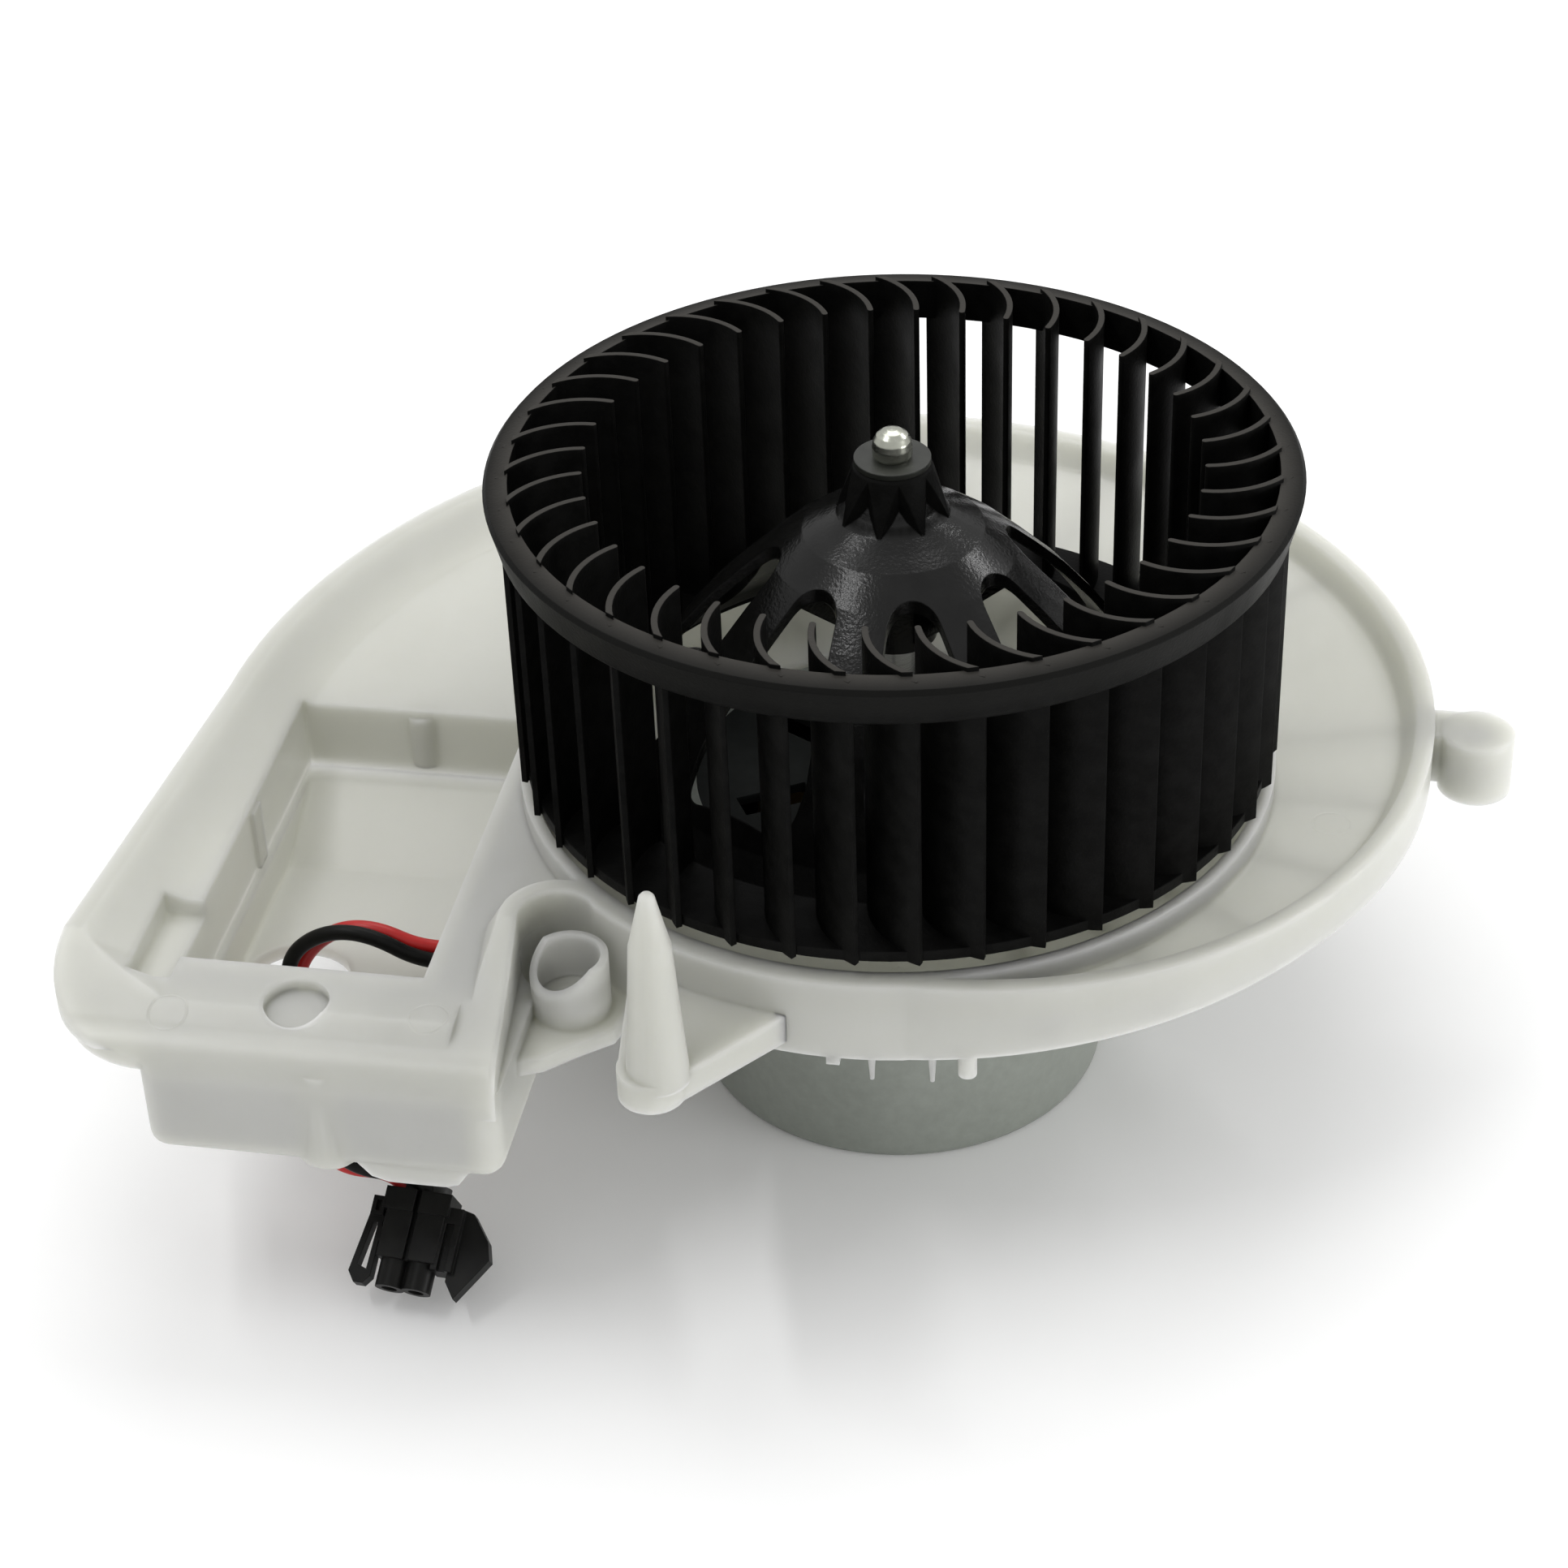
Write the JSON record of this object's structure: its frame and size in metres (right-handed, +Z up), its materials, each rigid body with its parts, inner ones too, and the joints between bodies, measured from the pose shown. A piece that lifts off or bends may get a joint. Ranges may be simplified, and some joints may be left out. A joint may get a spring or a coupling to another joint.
{
  "type": "blower motor wheel",
  "caption": "Blower with a squirrel-cage wheel on a motor shaft, hung under a moulded scroll floor with a resistor window and a plug on two leads.",
  "frame": {"origin": "on the motor axis at the flat closed end of the motor can", "axes": "+Z up along the shaft towards the wheel's inlet, +X away from the resistor window along its short sides, +Y towards the back of the scroll"},
  "size_m": [0.259, 0.2291, 0.1399],
  "materials": {
    "natural_pp": "semi-gloss translucent",
    "can_steel": "satin",
    "zinc_steel": "satin",
    "bright_steel": "polished",
    "black_nylon": "satin",
    "cap_plastic": "matt",
    "phenolic": "matt",
    "rubber_black": "matt",
    "ferrite": "matt",
    "lamination_steel": "satin",
    "copper_wire": "enamelled",
    "copper_bar": "satin",
    "brass": "satin",
    "bronze": "porous",
    "carbon": "matt",
    "acetal": "satin",
    "pvc_red": "satin",
    "pvc_black": "satin"
  },
  "bodies": {
    "base": {"scroll_tray": "natural_pp", "motor_can": "can_steel", "motor_flange": "can_steel", "mount_sleeves": "rubber_black", "mount_screws": "zinc_steel", "mount_nuts": "zinc_steel", "end_cap": "cap_plastic", "rear_bearing": "bronze", "front_bearing": "bronze", "magnets": "ferrite", "magnet_clips": "zinc_steel", "brush_card": "phenolic", "brush_holders": "brass", "brushes": "carbon", "brush_springs": "bright_steel", "chokes": "copper_wire", "lead_red": "pvc_red", "lead_black": "pvc_black", "lead_grommet": "rubber_black", "connector_housing": "black_nylon", "connector_latch": "black_nylon", "connector_seals": "rubber_black", "connector_terminals": "brass"},
    "rotor": {"shaft": "bright_steel", "laminations": "lamination_steel", "windings": "copper_wire", "commutator": "copper_bar", "commutator_core": "phenolic", "thrust_washers": "acetal", "hub_sleeve": "brass", "blower_wheel": "black_nylon", "clamp_washer": "zinc_steel", "dome_nut": "bright_steel"}
  },
  "joints": [
    {"name": "rotor_spin", "type": "hinge", "parent": "base", "child": "rotor", "pos_m": [0, 0, 0.07], "axis": [0, 0, 1], "continuous": true}
  ]
}
